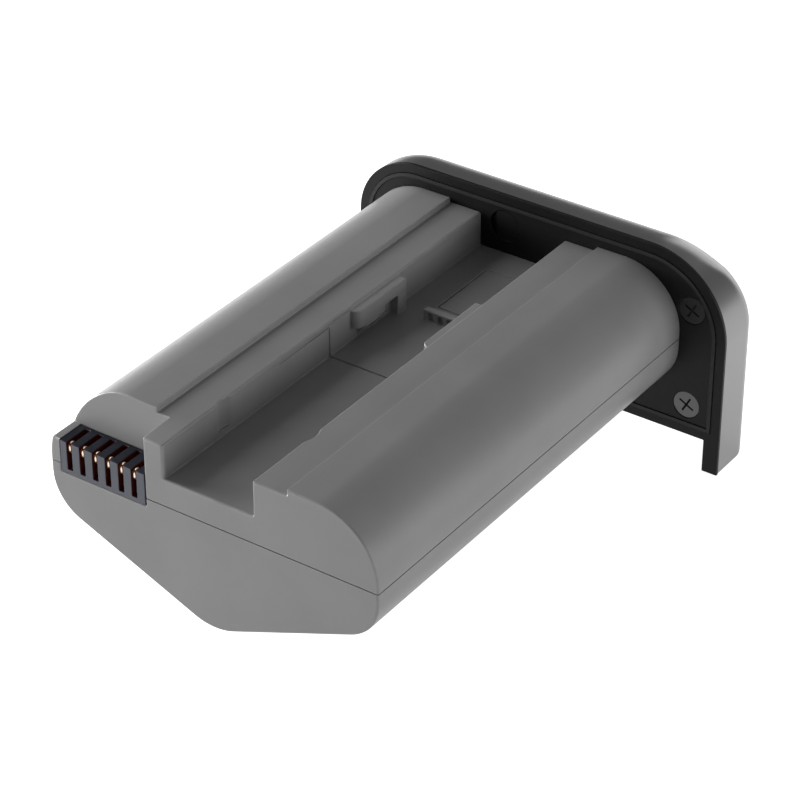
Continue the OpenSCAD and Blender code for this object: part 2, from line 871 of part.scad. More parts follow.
module cover_shell() {
    inner_end = cover_t - shell_wall;
    boss_y = plate_t + strip_gap;
    color(shell_grey) place() difference() {
        union() {
            difference() {
                cover_along(flange_t, cover_t - flange_t) difference() {
                    cover_outline(0);
                    foot_space();
                }
                difference() {
                    union() {
                        cover_along(0, inner_end - shell_step) plate_outline(shell_wall);
                        cover_along(flange_t, inner_end - flange_t) plate_outline(shell_wall + shell_step);
                    }
                    top_edge() edge_waste(2 * far, top_r - shell_wall);
                }
            }
            cover_rod(knob_at, under_y, cover_t - under_y, well_r + shell_wall);
            for (at = screw_spots) cover_rod(at, boss_y, inner_end - boss_y + eps, screw_d / 2 + boss_wall);
        }
        outer_edge_waste();
        cover_rod(knob_at, well_y, well_l + over, well_r);
        cover_rod(knob_at, under_y - over, well_floor + 2 * over, shaft_r + run_gap);
        for (at = screw_spots) cover_rod(at, plate_t, boss_l, screw_d / 2 + grip_gap);
    }
}

// Cross recess of a screw head of diameter d and height h, which is drawn from Z 0 up
module cross_recess(d, h) {
    arm = d * 0.62;
    width = d * 0.16;
    for (a = [0, 90]) rotate([0, 0, a]) translate([-arm / 2, -width / 2, -eps]) cube([arm, width, h * 0.6]);
}

module cover_screws() {
    color(steel) place() at_screws() translate([0, 0, fit_gap]) difference() {
        union() {
            cylinder(h = screw_head_h, d = screw_head);
            cylinder(h = plate_t + boss_l - 0.5, d = screw_d);
        }
        cross_recess(screw_head, screw_head_h);
    }
}

module case_screws() {
    shank_l = rear_wall - 0.7;
    color(steel) place() for (at = fix_spots) facing_rear(at, body_l) difference() {
        union() {
            translate([0, 0, -shank_l]) cylinder(h = shank_l + plate_t + eps, d = fix_d);
            translate([0, 0, plate_t]) cylinder(h = fix_head_h, d = fix_head);
        }
        translate([0, 0, plate_t + fix_head_h]) mirror([0, 0, 1]) cross_recess(fix_head, fix_head_h);
    }
}

// Groove for a sealing ring round a shaft of radius r
module ring_groove(r) {
    rotate_extrude() translate([r - 2 * ring_r - eps, -ring_w / 2]) square([over, ring_w]);
}

// Sealing ring that fills the groove of a shaft of radius r
module ring(r) {
    rotate_extrude() translate([r - ring_r - eps / 2, 0]) circle(ring_r - eps / 2);
}

module lock_key() {
    end_y = under_y - fit_gap;
    color(cover_black) place() difference() {
        union() {
            cover_rod(key_at, run_gap, plate_t - run_gap, key_r);
            cover_rod(key_at, plate_t - eps, arm_y - plate_t + eps, neck_r);
            cover_rod(key_at, arm_y - eps, end_y - arm_y + eps, key_end_r);
        }
        translate([key_at[0] - key_flat - key_r, body_l - over, key_at[1] - key_r - over])
            cube([key_r, key_flat_l + over, 2 * (key_r + over)]);
        facing_rear(key_at, body_l + key_ring_y) ring_groove(key_r);
    }
}

module key_ring() {
    color(rubber) place() facing_rear(key_at, body_l + key_ring_y) ring(key_r);
}

module key_clip() {
    clip_y = arm_end + run_gap;
    color(steel) place() difference() {
        cover_rod(key_at, clip_y, under_y - fit_gap - clip_y, key_end_r + clip_wall);
        cover_rod(key_at, clip_y - over, under_y, key_end_r + grip_gap);
    }
}

// Crank arm round a shaft, with a pin at its end that reaches through the link
module crank_arm(at, bore_r) {
    difference() {
        union() {
            cover_rod(at, arm_y, link_t, arm_hub_r);
            cover_rod(at + crank_way, arm_y, link_t, arm_end_r);
            translate([at[0], body_l + arm_y, at[1]]) rotate([0, -crank_angle, 0])
                translate([0, 0, -arm_end_r]) cube([crank_l, link_t, 2 * arm_end_r]);
            cover_rod(at + crank_way, link_y, arm_y - link_y + eps, crank_pin_r);
        }
        cover_rod(at, arm_y - over, link_t + 2 * over, bore_r);
    }
}

module key_arm() {
    color(steel) place() crank_arm(key_at, key_end_r + grip_gap);
}

module knob_crank() {
    color(steel) place() crank_arm(knob_at, crank_screw_r + grip_gap);
}

module crank_screw() {
    color(steel) place() difference() {
        union() {
            cover_rod(knob_at, arm_y - crank_head_h, crank_head_h, neck_r);
            cover_rod(knob_at, arm_y - eps, crank_screw_l, crank_screw_r);
        }
        facing_rear(knob_at, body_l + arm_y - crank_head_h) cross_recess(2 * neck_r, crank_head_h);
    }
}

module knob_washer() {
    washer_y = arm_end + run_gap;
    color(steel) place() difference() {
        cover_rod(knob_at, washer_y, under_y - run_gap - washer_y, shaft_r + washer_wall);
        cover_rod(knob_at, washer_y - over, under_y, shaft_r + fit_gap);
    }
}

module knob_ring() {
    color(rubber) place() facing_rear(knob_at, body_l + knob_ring_y) ring(shaft_r);
}

module lock_link() {
    color(steel) place() difference() {
        union() {
            for (at = [knob_at, key_at]) cover_rod(at + crank_way, link_y, link_t, arm_end_r);
            translate([knob_at[0] + crank_way[0], body_l + link_y, knob_at[1] + crank_way[1]])
                rotate([0, -link_angle, 0]) translate([0, 0, -link_w / 2])
                    cube([norm(link_way), link_t, link_w]);
        }
        for (at = [knob_at, key_at])
            cover_rod(at + crank_way, link_y - over, link_t + 2 * over, crank_pin_r + run_gap);
    }
}

// Half disc below the handle's axis, starting drop below it
module half_disc(r, drop) {
    intersection() {
        translate(knob_at) circle(r);
        area(knob_at - [far, far], knob_at + [far, -drop]);
    }
}

// A bar along X on the handle's axis, of length l
module axis_bar(l, r) {
    translate([knob_at[0], body_l + axis_y, knob_at[1]]) rotate([0, 90, 0])
        cylinder(h = l, r = r, center = true);
}

module lock_knob() {
    finger_w = 6;
    finger_r = 1.6;
    half_room = barrel_l / 2 + 2 * fit_gap;
    color(cover_black) place() difference() {
        union() {
            cover_rod(knob_at, knob_y, knob_top - knob_y, knob_d / 2);
            cover_rod(knob_at, arm_end, knob_y - arm_end + eps, shaft_r);
        }
        cover_along(pocket_y, handle_t + over) {
            half_disc(handle_r + soft_gap, barrel_r);
            area(knob_at - [half_room, web_z], knob_at + [half_room, barrel_r + soft_gap]);
        }
        translate([knob_at[0], body_l + knob_top, knob_at[1] - knob_d / 2]) rotate([0, 90, 0])
            cylinder(h = finger_w, r = finger_r, center = true);
        axis_bar(knob_d + over, pin_d / 2 + grip_gap);
        cover_rod(knob_at, arm_end - over, crank_screw_l + over, crank_screw_r + grip_gap);
        facing_rear(knob_at, body_l + knob_ring_y) ring_groove(shaft_r);
    }
}

module handle() {
    color(cover_black) place() difference() {
        union() {
            cover_along(axis_y - barrel_r, handle_t) {
                half_disc(handle_r, web_z);
                area(knob_at - [barrel_l / 2, web_z + eps], knob_at + [barrel_l / 2, 0]);
            }
            axis_bar(barrel_l, barrel_r);
        }
        axis_bar(barrel_l + over, pin_d / 2 + run_gap);
    }
}

module handle_pin() {
    color(steel) place() axis_bar(knob_d - 2 * pin_sink, pin_d / 2);
}

upper_case();
lower_case();
contact_block();
for (i = [1:slot_n]) contact(i);
cell([-lobe_x, lobe_z], true);  // cell_left
cell([lobe_x, lobe_z], true);  // cell_right
cell([0, -keel_mid], false);  // cell_keel
holder(front_l + holder_in);  // holder_front
holder(cells_end - holder_in - holder_l);  // holder_rear
strip_plus();
strip_front();
strip_rear();
strip_minus();
lead_minus();
insulator_front();
pad_rear();
circuit_board();
board_parts();
cover_plate();
cover_seal();
cover_shell();
cover_screws();
case_screws();
lock_key();
key_arm();
key_clip();
key_ring();
lock_knob();
knob_ring();
knob_washer();
knob_crank();
crank_screw();
lock_link();
handle();
handle_pin();
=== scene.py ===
import json
import math

import bmesh
import bpy
from mathutils import Matrix, Vector

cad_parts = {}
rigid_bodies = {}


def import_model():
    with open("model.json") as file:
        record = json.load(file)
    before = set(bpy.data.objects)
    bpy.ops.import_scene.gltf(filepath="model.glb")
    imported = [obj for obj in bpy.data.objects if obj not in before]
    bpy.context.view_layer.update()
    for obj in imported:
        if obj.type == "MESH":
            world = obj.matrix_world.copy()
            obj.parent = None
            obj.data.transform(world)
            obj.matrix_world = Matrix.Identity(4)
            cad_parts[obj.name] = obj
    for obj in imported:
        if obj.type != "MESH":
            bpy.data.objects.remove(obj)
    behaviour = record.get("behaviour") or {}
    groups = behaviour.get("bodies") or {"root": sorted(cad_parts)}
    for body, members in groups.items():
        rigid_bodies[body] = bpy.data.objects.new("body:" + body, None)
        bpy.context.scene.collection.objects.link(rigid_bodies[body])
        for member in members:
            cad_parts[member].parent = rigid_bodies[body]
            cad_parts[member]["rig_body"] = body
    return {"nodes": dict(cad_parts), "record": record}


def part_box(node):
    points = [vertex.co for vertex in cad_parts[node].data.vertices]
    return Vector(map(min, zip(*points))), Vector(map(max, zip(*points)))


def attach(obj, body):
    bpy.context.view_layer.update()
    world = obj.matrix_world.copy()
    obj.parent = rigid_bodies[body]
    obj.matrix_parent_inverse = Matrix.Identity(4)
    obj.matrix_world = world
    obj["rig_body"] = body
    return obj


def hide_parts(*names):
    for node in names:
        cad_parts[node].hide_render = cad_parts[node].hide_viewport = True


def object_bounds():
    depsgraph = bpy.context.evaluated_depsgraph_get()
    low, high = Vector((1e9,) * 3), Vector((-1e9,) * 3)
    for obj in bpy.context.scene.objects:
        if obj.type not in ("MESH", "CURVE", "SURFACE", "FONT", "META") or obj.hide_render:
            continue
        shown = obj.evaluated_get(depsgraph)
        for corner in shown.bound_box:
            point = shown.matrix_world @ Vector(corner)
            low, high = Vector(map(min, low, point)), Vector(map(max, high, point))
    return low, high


# The camera battery as it looks: the CAD's nodes with their finishes, most outer ones as rounded copies,
# and a plain floor, soft lights and a camera

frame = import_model()
cad_low, cad_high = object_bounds()

MM = 0.001
nodes = frame["nodes"]
case_low, case_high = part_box("upper_case")
front, seat = case_low.y, case_high.y
cover_low, cover_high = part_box("cover_shell")
block_low, block_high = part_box("contact_block")
knob_low, knob_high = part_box("lock_knob")

# Edge rounds: at the contact end, along the left ledge's inner edges, elsewhere, and round fine detail
FRONT_ROUND = 0.34 * MM
LEDGE_ROUND = 0.6 * MM
SMALL_ROUND = 0.18 * MM
HAIR_ROUND = 0.08 * MM
ROUND_STEPS = 3

# An edge is rounded where it turns by SHARP_ANGLE or more and both its faces are wider than FACE_ROOM rounds
SHARP_ANGLE = math.radians(30)
FACE_ROOM = 1.6

# Faces are joined where they turn by less than FLAT_ANGLE, and vertices where they lie within WELD
FLAT_ANGLE = math.radians(0.05)
WELD = 0.002 * MM

# Room left round a place where edges or faces are picked by it, and round the contact block
HAIR = 0.05 * MM
BLOCK_ROOM = 3 * HAIR

# Places on the case: half the channel's width, the ledges' top, just above the channel's floor, and half the
# parting line. Right of the channel, fine rounds begin FINE_SIDE past its wall and FINE_BACK behind the front
CHANNEL_HALF = 7.8 * MM
LEDGE_TOP = 10.4 * MM
WALL_FOOT = 5 * MM
PART_LINE = 0.08 * MM
FINE_SIDE = 0.5 * MM
FINE_BACK = 2 * MM

# Places on the cover: just behind the plate's face and the shell's rim, just above its underside, and just in
# front of the rim of the knob's well
PLATE_BACK = 0.4 * MM
RIM_BACK = 0.8 * MM
UNDERSIDE = -16.6 * MM
WELL_RIM = 9.2 * MM

# The cover's skin: its outer rounds and corners, how far it lies inside the CAD's faces and begins ahead of
# the rim, the steps of a corner and of the round, and the least cosine that the round is worked out with
TOP_ROUND = 8.4 * MM
SIDE_ROUND = 3.6 * MM
LEFT_CORNER = 11.2 * MM
RIGHT_CORNER = 14.0 * MM
SKIN_DEPTH = 0.035 * MM
SKIN_AHEAD = 1.0 * MM
CORNER_STEPS = 30
SKIN_RINGS = 14
LEAST_COSINE = 0.05

# Blocks that close the cover's upper corners from inside: their width and height, and where they begin
FILL_REACH = 9.0 * MM
FILL_FRONT = 4.5 * MM

# A contact's gilded crown: half its width, its depth, half its height, how far it stands in front of the
# contact and above it, and its sides and rings
CROWN_WIDTH = 0.4 * MM
CROWN_DEPTH = 0.7 * MM
CROWN_HALF = 0.95 * MM
CROWN_PROUD = 0.08 * MM
CROWN_LIFT = 0.04 * MM
CROWN_SIDES = 20
CROWN_RINGS = 16

# The contact block: how far behind its front and inside its outline the slots' painted shade begins,
# and the least rise of a top face's normal
SLOT_LIP = 0.1 * MM
SLOT_EDGE = 0.3 * MM
TOP_NORMAL = 0.7

# The cover screws' cross recess: its depth, the share of the arms' width that stays, how deep its painted
# shade reaches in recess depths, and how far each screw is turned
RECESS_DEPTH = 0.16 * MM
RECESS_THIN = 0.45
RECESS_DARK = 1.2
SCREW_TURN = math.radians(28)

# Bounds that pick the recess out of the CAD's head: its reach, half an arm's width, its depth, and its floor
RECESS_REACH = 1.6 * MM
RECESS_ARM = 0.5 * MM
RECESS_DEEPEST = 0.9 * MM
RECESS_FLOOR = 0.5 * MM

# The moulded skin: waves per metre of its grain, coarse grain, patches of the painted edge highlight and
# clouds, and the stretch of the noise that is used, with another one for the patches
GRAIN_WAVES = 5200
COARSE_WAVES = 1500
PATCH_WAVES = 420
CLOUD_WAVES = 90
NOISE_SPAN = (0.3, 0.7)
PATCH_SPAN = (0.35, 0.65)

# The fine grain's share of the moulded skin's height, what the coarse grain adds to its roughness, and what
# is taken off it on the rounded edges under their painted highlight
GRAIN_SHARE = 0.6
GRAIN_ROUGH = 0.035
EDGE_POLISH = 0.4

# The metal: waves per metre of its streaks and stains, the stretch of the stains' noise that is used, how the
# streaks are stretched, what both add to its roughness, and the stains' colour
STREAK_WAVES = 9000
STAIN_WAVES = 700
STAIN_SPAN = (0.35, 0.7)
STREAK_STRETCH = (1, 0.08, 1)
STREAK_ROUGH = 0.14
STAIN_ROUGH = 0.3
TARNISH = (0.09, 0.07, 0.06, 1)

# A Mix node's colour inputs and output, which share their names with its other sockets
MIX_INPUTS = (6, 7)
MIX_OUTPUT = 2

# The floor: half its side, its shade and roughness, and its glow as the camera and as reflections see it
FLOOR_REACH = 3.0
FLOOR_SHADE = (0.82, 0.82, 0.82, 1)
FLOOR_ROUGH = 0.9
FLOOR_GLOW = 0.9
MIRRORED_GLOW = 0.6

# Glow of the room as the camera sees it, and on the part
ROOM_SEEN = 1
ROOM_GLOW = 0.12

# Lights: width and height of a box and of a strip, the point that they face, and their distance from it
BOX = (350 * MM, 350 * MM)
STRIP = (400 * MM, 90 * MM)
LIGHT_AIM = Vector((0, -40 * MM, 0))
LIGHT_DISTANCE = 600 * MM


# Shader groups

def new_group(name, inputs, outputs):
    """An empty shader group with float and colour sockets, and its input and output nodes."""
    group = bpy.data.node_groups.new(name, "ShaderNodeTree")
    for label, kind, value in inputs:
        socket = group.interface.new_socket(label, in_out="INPUT", socket_type=kind)
        socket.default_value = value
    for label, kind in outputs:
        group.interface.new_socket(label, in_out="OUTPUT", socket_type=kind)
    return group, group.nodes.new("NodeGroupInput"), group.nodes.new("NodeGroupOutput")


def noise(tree, place, waves, detail):
    """A noise texture of that many waves per metre."""
    texture = tree.nodes.new("ShaderNodeTexNoise")
    texture.inputs["Scale"].default_value = waves
    texture.inputs["Detail"].default_value = detail
    tree.links.new(place, texture.inputs["Vector"])
    return texture.outputs["Fac"]


def ramp(tree, value, low, high, to_low, to_high):
    """Maps value from low...high to to_low...to_high, held at both ends."""
    change = tree.nodes.new("ShaderNodeMapRange")
    for label, number in (("From Min", low), ("From Max", high), ("To Min", to_low), ("To Max", to_high)):
        change.inputs[label].default_value = number
    tree.links.new(value, change.inputs["Value"])
    return change.outputs["Result"]


def arithmetic(tree, operation, first, second):
    """A Math node; each operand is a socket or a number."""
    node = tree.nodes.new("ShaderNodeMath")
    node.operation = operation
    for socket, operand in zip(node.inputs, (first, second)):
        if isinstance(operand, (int, float)):
            socket.default_value = operand
        else:
            tree.links.new(operand, socket)
    return node.outputs["Value"]


def blend_colour(tree, factor, first, second, mode="MIX"):
    """A colour Mix node; factor and both colours are sockets or values."""
    node = tree.nodes.new("ShaderNodeMix")
    node.data_type = "RGBA"
    node.blend_type = mode
    sockets = [node.inputs["Factor"]] + [node.inputs[place] for place in MIX_INPUTS]
    for socket, operand in zip(sockets, (factor, first, second)):
        if isinstance(operand, (int, float, tuple)):
            socket.default_value = operand
        else:
            tree.links.new(operand, socket)
    return node.outputs[MIX_OUTPUT]


def build_moulded_skin():
    """Moulded plastic: a fine spark-eroded grain, faint cloudiness, and a painted highlight on the rounded
    edges, which are also a little smoother.
    """
    group, start, end = new_group(
        "moulded_skin",
        [("Colour", "NodeSocketColor", (0.2, 0.2, 0.2, 1)), ("Roughness", "NodeSocketFloat", 0.5),
         ("Cloud", "NodeSocketFloat", 0.1), ("Edge Highlight", "NodeSocketFloat", 0.3),
         ("Grain", "NodeSocketFloat", 1.0)],
        [("Colour", "NodeSocketColor"), ("Roughness", "NodeSocketFloat"), ("Height", "NodeSocketFloat")])
    place = group.nodes.new("ShaderNodeTexCoord").outputs["Object"]
    painted_edge_highlight = group.nodes.new("ShaderNodeAttribute")
    painted_edge_highlight.attribute_name = "painted_edge_highlight"
    grain = noise(group, place, GRAIN_WAVES, detail=3)
    coarse = noise(group, place, COARSE_WAVES, detail=2)
    cloud = ramp(group, noise(group, place, CLOUD_WAVES, detail=3), *NOISE_SPAN, -1, 1)
    patch = ramp(group, noise(group, place, PATCH_WAVES, detail=3), *PATCH_SPAN, 0, 1)
    # Painted highlight: the rounded edges get a lighter colour in patches, and are also made smoother
    edge_highlight_and_polish = arithmetic(group, "MULTIPLY", arithmetic(group, "MULTIPLY", painted_edge_highlight.outputs["Fac"], patch),
                      start.outputs["Edge Highlight"])
    shade = arithmetic(group, "ADD", 1.0, arithmetic(group, "MULTIPLY", cloud, start.outputs["Cloud"]))
    shade = arithmetic(group, "ADD", shade, edge_highlight_and_polish)
    grey = group.nodes.new("ShaderNodeCombineColor")
    for socket in grey.inputs:
        if socket.type == "VALUE":
            group.links.new(shade, socket)
    tinted = blend_colour(group, 1.0, start.outputs["Colour"], grey.outputs["Color"], "MULTIPLY")
    group.links.new(tinted, end.inputs["Colour"])
    spread = ramp(group, coarse, *NOISE_SPAN, -GRAIN_ROUGH, GRAIN_ROUGH)
    spread = arithmetic(group, "MULTIPLY", spread, start.outputs["Grain"])
    rough = arithmetic(group, "ADD", start.outputs["Roughness"], spread)
    rough = arithmetic(group, "SUBTRACT", rough, arithmetic(group, "MULTIPLY", edge_highlight_and_polish, EDGE_POLISH))
    group.links.new(rough, end.inputs["Roughness"])
    height = arithmetic(group, "ADD", arithmetic(group, "MULTIPLY", grain, GRAIN_SHARE),
                        arithmetic(group, "MULTIPLY", coarse, 1 - GRAIN_SHARE))
    group.links.new(height, end.inputs["Height"])
    return group


def build_metal_skin():
    """Rolled or turned metal: fine streaks along one way, with faint stains."""
    group, start, end = new_group(
        "metal_skin",
        [("Colour", "NodeSocketColor", (0.5, 0.5, 0.5, 1)), ("Roughness", "NodeSocketFloat", 0.3),
         ("Stain", "NodeSocketFloat", 0.2)],
        [("Colour", "NodeSocketColor"), ("Roughness", "NodeSocketFloat"), ("Height", "NodeSocketFloat")])
    place = group.nodes.new("ShaderNodeTexCoord").outputs["Object"]
    stretch = group.nodes.new("ShaderNodeMapping")
    stretch.inputs["Scale"].default_value = STREAK_STRETCH
    group.links.new(place, stretch.inputs["Vector"])
    streak = noise(group, stretch.outputs["Vector"], STREAK_WAVES, detail=2)
    stain = ramp(group, noise(group, place, STAIN_WAVES, detail=3), *STAIN_SPAN, 0, 1)
    amount = arithmetic(group, "MULTIPLY", stain, start.outputs["Stain"])
    dull = blend_colour(group, amount, start.outputs["Colour"], TARNISH)
    group.links.new(dull, end.inputs["Colour"])
    spread = arithmetic(group, "ADD", arithmetic(group, "MULTIPLY", streak, STREAK_ROUGH),
                        arithmetic(group, "MULTIPLY", amount, STAIN_ROUGH))
    group.links.new(arithmetic(group, "ADD", start.outputs["Roughness"], spread), end.inputs["Roughness"])
    group.links.new(streak, end.inputs["Height"])
    return group


MOULDED = build_moulded_skin()
METAL = build_metal_skin()


# Materials

def linear(level):
    """Linear value of a display level from 0 to 255, by the usual display curve."""
    share = level / 255
    return share / 12.92 if share <= 0.04045 else ((share + 0.055) / 1.055) ** 2.4


def colour(red, green=None, blue=None):
    """Linear colour from display levels; one level alone is a grey."""
    green = red if green is None else green
    blue = red if blue is None else blue
    return (linear(red), linear(green), linear(blue), 1)


def material(name, group, values, bump, metallic=0.0, specular=0.5, coat=0.0, sheen=0.0):
    """A Principled material whose colour, roughness and bump come from a shader group."""
    made = bpy.data.materials.new(name)
    made.use_nodes = True
    tree = made.node_tree
    shader = tree.nodes["Principled BSDF"]
    shader.inputs["Metallic"].default_value = metallic
    shader.inputs["Specular IOR Level"].default_value = specular
    shader.inputs["Coat Weight"].default_value = coat
    shader.inputs["Sheen Weight"].default_value = sheen
    skin = tree.nodes.new("ShaderNodeGroup")
    skin.node_tree = group
    for label, value in values.items():
        skin.inputs[label].default_value = value
    tree.links.new(skin.outputs["Colour"], shader.inputs["Base Color"])
    tree.links.new(skin.outputs["Roughness"], shader.inputs["Roughness"])
    raised = tree.nodes.new("ShaderNodeBump")
    raised.inputs["Strength"].default_value = 1.0
    raised.inputs["Distance"].default_value = bump
    tree.links.new(skin.outputs["Height"], raised.inputs["Height"])
    tree.links.new(raised.outputs["Normal"], shader.inputs["Normal"])
    made.diffuse_color = values["Colour"]
    return made


def plastic(name, tint, roughness, cloud=0.04, edge_highlight=0.12, bump=0.008 * MM, **extra):
    """Moulded plastic, rubber, foam or card."""
    values = {"Colour": tint, "Roughness": roughness, "Cloud": cloud, "Edge Highlight": edge_highlight}
    return material(name, MOULDED, values, bump, **extra)


def metallic_paint(name, tint, roughness, metallic, **extra):
    """Satin paint with metal flakes in it."""
    values = {"Colour": tint, "Roughness": roughness, "Cloud": 0.01, "Edge Highlight": 0.06, "Grain": 0.15}
    return material(name, MOULDED, values, 0.0003 * MM, metallic=metallic, **extra)


def metal(name, tint, roughness, stain=0.15, bump=0.003 * MM, **extra):
    """Bare or plated metal."""
    values = {"Colour": tint, "Roughness": roughness, "Stain": stain}
    return material(name, METAL, values, bump, metallic=1.0, **extra)


case_grey = plastic("case_grey", colour(142), 0.36)
shell_satin = metallic_paint("shell_satin", colour(148), 0.3, 0.84)
plate_black = plastic("plate_black", colour(25), 0.42, edge_highlight=0.5, specular=0.2)
block_slate = plastic("block_slate", colour(78, 81, 92), 0.4)
# Painted shade: a darker copy of the block's slate for its upward faces
block_top_shade = plastic("block_top_shade", colour(29, 32, 44), 0.36, specular=0.3)
# Painted shade: near-black for the slots' walls, with a painted red-brown glint as of the copper leaves
slot_shade = plastic("slot_shade", colour(84, 32, 20), 0.5, specular=0.2)
knob_black = plastic("knob_black", colour(36), 0.38, edge_highlight=0.6)
seal_rubber = plastic("seal_rubber", colour(20), 0.62, cloud=0.1, edge_highlight=0)
holder_black = plastic("holder_black", colour(40), 0.55)
lead_black = plastic("lead_black", colour(26), 0.45)
foam_dark = plastic("foam_dark", colour(52), 0.9, cloud=0.15, edge_highlight=0, bump=0.05 * MM)
card_sheet = plastic("card_sheet", colour(196, 188, 160), 0.75, cloud=0.08, edge_highlight=0)
board_green = plastic("board_green", colour(28, 92, 52), 0.3, cloud=0.12, coat=0.4)
chip_black = plastic("chip_black", colour(34), 0.5)
cell_sleeve = plastic("cell_sleeve", colour(48, 104, 138), 0.24, cloud=0.05, edge_highlight=0, coat=0.5)
contact_gold = metal("contact_gold", colour(255, 240, 214), 0.5, stain=0.04)
# Painted shade: the contacts' leaves are near-black brown as the shade in their slots; the stains are tarnish
leaf_shade_dark = metal("leaf_shade_dark", colour(74, 34, 20), 0.4, stain=0.5)
nickel = metal("nickel", colour(196, 192, 182), 0.3)
screw_steel = metal("screw_steel", colour(112), 0.5, stain=0.05)
# Painted shade for the screws' cross recesses, one for each screw
recess_shade_black = metal("recess_shade_black", colour(22), 0.6, stain=0)
# Painted shade: a darker copy of the screw steel, for the upper screw that lies in shade
screw_steel_shaded = metal("screw_steel_shaded", colour(66), 0.5, stain=0.05)
recess_shade_dim = metal("recess_shade_dim", colour(48), 0.55, stain=0)
lock_steel = metal("lock_steel", colour(180), 0.3)

NODE_FINISH = {
    "case": case_grey, "contact_block": block_slate, "contacts": leaf_shade_dark,
    "cell_wrap": cell_sleeve, "holder": holder_black, "nickel": nickel, "lead": lead_black,
    "insulator": card_sheet, "foam": foam_dark, "board": board_green, "chips": chip_black,
    "plate": plate_black, "seal": seal_rubber, "shell": shell_satin, "screws": screw_steel,
    "key": plate_black, "lock_metal": lock_steel, "knob": knob_black, "handle": knob_black,
}
SLOT_OF = {row["node"]: row["material_slot"] for row in frame["record"]["subparts"]}


def finish_node(name):
    """Gives a CAD node the material of its slot."""
    mesh = nodes[name].data
    mesh.materials.clear()
    mesh.materials.append(NODE_FINISH[SLOT_OF[name]])
    for face in mesh.polygons:
        face.use_smooth = True


# Meshes and pieces

def mesh_of(shape, name):
    """The mesh of a finished shape."""
    mesh = bpy.data.meshes.new(name)
    shape.to_mesh(mesh)
    shape.free()
    return mesh


def close_rings(shape, rings):
    """Joins rings that have the same number of vertices into a closed skin."""
    count = len(rings[0])
    for low, high in zip(rings, rings[1:]):
        for i in range(count):
            j = (i + 1) % count
            shape.faces.new((low[i], low[j], high[j], high[i]))
    shape.faces.new(rings[0])
    shape.faces.new(list(reversed(rings[-1])))
    bmesh.ops.recalc_face_normals(shape, faces=shape.faces)


def new_object(name, data):
    """An object in the scene, made from a mesh, a light or a camera."""
    made = bpy.data.objects.new(name, data)
    bpy.context.scene.collection.objects.link(made)
    return made


def stand_for(piece, node):
    """Puts a piece in the place of a CAD node, on its body, and hides the node."""
    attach(piece, nodes[node]["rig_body"])
    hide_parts(node)


def bake_modifiers(piece):
    """Replaces a piece's mesh with its result after the modifiers."""
    bpy.context.view_layer.update()
    graph = bpy.context.evaluated_depsgraph_get()
    result = bpy.data.meshes.new_from_object(piece.evaluated_get(graph), depsgraph=graph)
    piece.modifiers.clear()
    piece.data = result


def smooth_but_sharp(mesh):
    """Smooths the faces of a mesh but keeps its sharp edges."""
    mesh.shade_smooth()
    mesh.set_sharp_from_angle(angle=SHARP_ANGLE)


# Rounded copies of the CAD nodes

def face_width(face):
    """Rough width of a long face: twice its area over half its rim."""
    rim = sum(edge.calc_length() for edge in face.edges)
    return 4 * face.calc_area() / rim


def wants_round(edge, width):
    """True for a sharp edge whose two faces are wide enough for the round."""
    if len(edge.link_faces) != 2 or edge.calc_face_angle(0) < SHARP_ANGLE:
        return False
    return all(face_width(face) > FACE_ROOM * width for face in edge.link_faces)


def inside(point, low, high):
    """True for a point in a box."""
    return all(a <= p <= b for a, p, b in zip(low, point, high))


def joined_faces(mesh):
    """The mesh with its flat neighbours joined."""
    shape = bmesh.new()
    shape.from_mesh(mesh)
    bmesh.ops.remove_doubles(shape, verts=shape.verts, dist=WELD)
    bmesh.ops.dissolve_limit(shape, angle_limit=FLAT_ANGLE, verts=shape.verts, edges=shape.edges)
    shape.to_mesh(mesh)
    shape.free()
    return mesh


def clean_copy(node):
    """A copy of a CAD node's mesh with its triangles joined into flat faces."""
    return joined_faces(nodes[node].data.copy())


def weigh_edges(mesh, default, rules):
    """Gives each edge to be rounded its share of the largest radius, which is returned."""
    largest = max([default] + [radius for _, _, radius in rules])
    shape = bmesh.new()
    shape.from_mesh(mesh)
    weight = shape.edges.layers.float.new("bevel_weight_edge")
    for edge in shape.edges:
        middle = (edge.verts[0].co + edge.verts[1].co) / 2
        radius = next((r for low, high, r in rules if inside(middle, low, high)), default)
        if radius and wants_round(edge, radius):
            edge[weight] = radius / largest
    for face in shape.faces:
        face.material_index = 0
    shape.to_mesh(mesh)
    shape.free()
    return largest


def mark_rounds(mesh, finish):
    """Turns the second material on the rounds into a mask for the painted highlight on the edges."""
    mask = mesh.attributes.new("painted_edge_highlight", "FLOAT", "FACE")
    for face, value in zip(mesh.polygons, mask.data):
        value.value = float(face.material_index)
        face.material_index = 0
    mesh.materials.clear()
    mesh.materials.append(finish)


def soften(node, default, rules=(), mesh=None):
    """A copy of a CAD node, or of a mesh made from it, with its sharp edges rounded. Each rule is (low, high,
    radius): the first box that holds an edge's middle sets its radius, and default holds elsewhere."""
    mesh = mesh or clean_copy(node)
    largest = weigh_edges(mesh, default, rules)
    piece = new_object(node + "_body", mesh)
    finish = NODE_FINISH[SLOT_OF[node]]
    mesh.materials.clear()
    mesh.materials.append(finish)
    mesh.materials.append(finish)
    bevel = piece.modifiers.new("edge rounds", "BEVEL")
    bevel.limit_method = "WEIGHT"
    bevel.width = largest
    bevel.segments = ROUND_STEPS
    bevel.use_clamp_overlap = False
    bevel.miter_outer = "MITER_ARC"
    bevel.material = 1
    bake_modifiers(piece)
    mark_rounds(piece.data, finish)
    smooth_but_sharp(piece.data)
    weighted = piece.modifiers.new("flat faces lead", "WEIGHTED_NORMAL")
    weighted.keep_sharp = True
    bake_modifiers(piece)
    stand_for(piece, node)
    return piece


